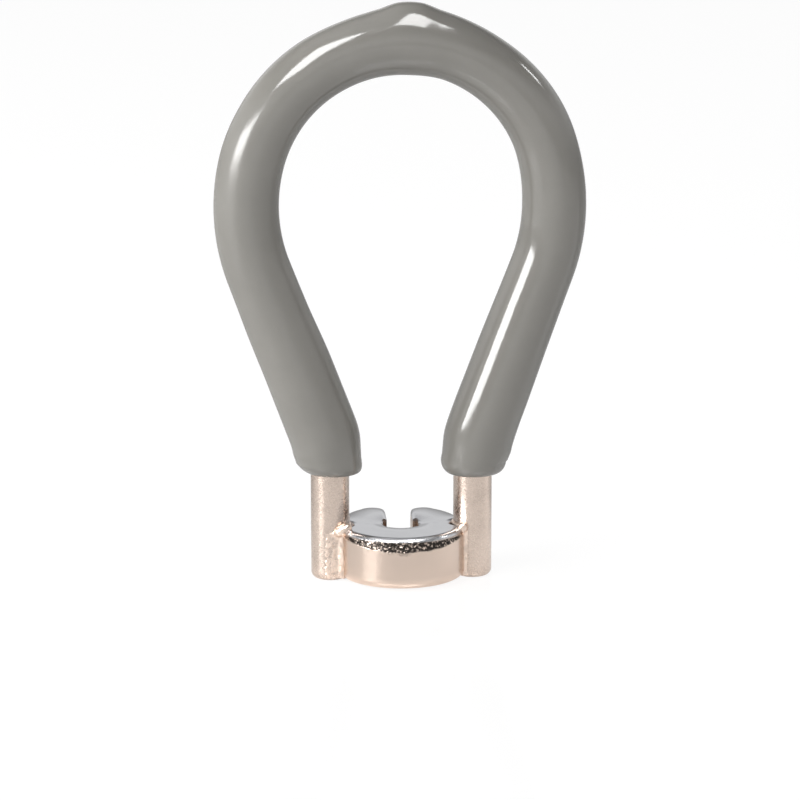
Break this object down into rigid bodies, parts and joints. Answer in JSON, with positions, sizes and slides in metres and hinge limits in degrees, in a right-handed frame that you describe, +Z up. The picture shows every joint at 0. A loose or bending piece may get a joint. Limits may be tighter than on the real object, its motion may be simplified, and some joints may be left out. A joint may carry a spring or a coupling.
{
  "type": "spoke wrench",
  "caption": "Spoke wrench with a bent steel rod handle in a grey dipped vinyl grip and a plated, slotted jaw brazed between its feet.",
  "frame": {"origin": "on the axis of the nipple socket, in the plane of the feet of the legs", "axes": "+Z up along the spoke, towards the crown of the loop; +Y out of the jaw's mouth; +X to the right leg seen from the closed side"},
  "size_m": [0.0454, 0.0166, 0.0715],
  "materials": {
    "plated_rod": "satin nickel plate",
    "plated_jaw": "bright nickel plate",
    "plated_braze": "bright nickel plate",
    "grey_vinyl": "gloss"
  },
  "bodies": {
    "root": {"handle_rod": "plated_rod", "nipple_jaw": "plated_jaw", "left_braze": "plated_braze", "right_braze": "plated_braze", "vinyl_grip": "grey_vinyl"}
  },
  "joints": []
}
